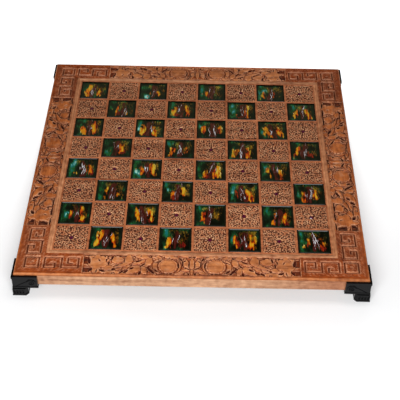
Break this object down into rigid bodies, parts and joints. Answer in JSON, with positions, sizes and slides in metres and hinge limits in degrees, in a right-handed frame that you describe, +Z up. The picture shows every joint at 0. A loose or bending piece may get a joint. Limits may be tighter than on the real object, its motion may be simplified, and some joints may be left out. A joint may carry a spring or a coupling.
{
  "type": "chessboard",
  "caption": "Square carved wood chessboard with enamelled dark squares, a gem in each light square and black cast corner feet.",
  "frame": {"origin": "on the table, under the centre of the board", "axes": "+Z up out of the playing surface, +Y away from the player at the near edge, +X to the player's right"},
  "size_m": [0.4066, 0.4066, 0.0335],
  "materials": {
    "carved_wood": "carved hardwood, copper brown stain, satin varnish",
    "field_wood": "stippled hardwood, satin varnish",
    "base_wood": "stained plywood",
    "spline_wood": "plain beech",
    "enamel": "glossy swirled enamel, dark green, orange, red and white",
    "gem_glass": "polished dark red glass",
    "bezel_metal": "darkened brass",
    "cast_foot": "black satin paint on cast metal",
    "screw_steel": "zinc plated"
  },
  "bodies": {
    "root": {"rail_front": "carved_wood", "inner_fillet_front": "carved_wood", "rail_right": "carved_wood", "inner_fillet_right": "carved_wood", "rail_back": "carved_wood", "inner_fillet_back": "carved_wood", "rail_left": "carved_wood", "inner_fillet_left": "carved_wood", "corner_foot_front_left": "cast_foot", "corner_foot_front_right": "cast_foot", "corner_foot_back_right": "cast_foot", "corner_foot_back_left": "cast_foot", "mitre_splines": "spline_wood", "foot_screws": "screw_steel", "base_panel": "base_wood", "base_screws": "screw_steel", "playing_panel": "field_wood", "enamel_tile_row1_column2": "enamel", "enamel_tile_row1_column4": "enamel", "enamel_tile_row1_column6": "enamel", "enamel_tile_row1_column8": "enamel", "enamel_tile_row2_column1": "enamel", "enamel_tile_row2_column3": "enamel", "enamel_tile_row2_column5": "enamel", "enamel_tile_row2_column7": "enamel", "enamel_tile_row3_column2": "enamel", "enamel_tile_row3_column4": "enamel", "enamel_tile_row3_column6": "enamel", "enamel_tile_row3_column8": "enamel", "enamel_tile_row4_column1": "enamel", "enamel_tile_row4_column3": "enamel", "enamel_tile_row4_column5": "enamel", "enamel_tile_row4_column7": "enamel", "enamel_tile_row5_column2": "enamel", "enamel_tile_row5_column4": "enamel", "enamel_tile_row5_column6": "enamel", "enamel_tile_row5_column8": "enamel", "enamel_tile_row6_column1": "enamel", "enamel_tile_row6_column3": "enamel", "enamel_tile_row6_column5": "enamel", "enamel_tile_row6_column7": "enamel", "enamel_tile_row7_column2": "enamel", "enamel_tile_row7_column4": "enamel", "enamel_tile_row7_column6": "enamel", "enamel_tile_row7_column8": "enamel", "enamel_tile_row8_column1": "enamel", "enamel_tile_row8_column3": "enamel", "enamel_tile_row8_column5": "enamel", "enamel_tile_row8_column7": "enamel", "gems_row1": "gem_glass", "gems_row2": "gem_glass", "gems_row3": "gem_glass", "gems_row4": "gem_glass", "gems_row5": "gem_glass", "gems_row6": "gem_glass", "gems_row7": "gem_glass", "gems_row8": "gem_glass", "bezel_cups": "bezel_metal"}
  },
  "joints": []
}
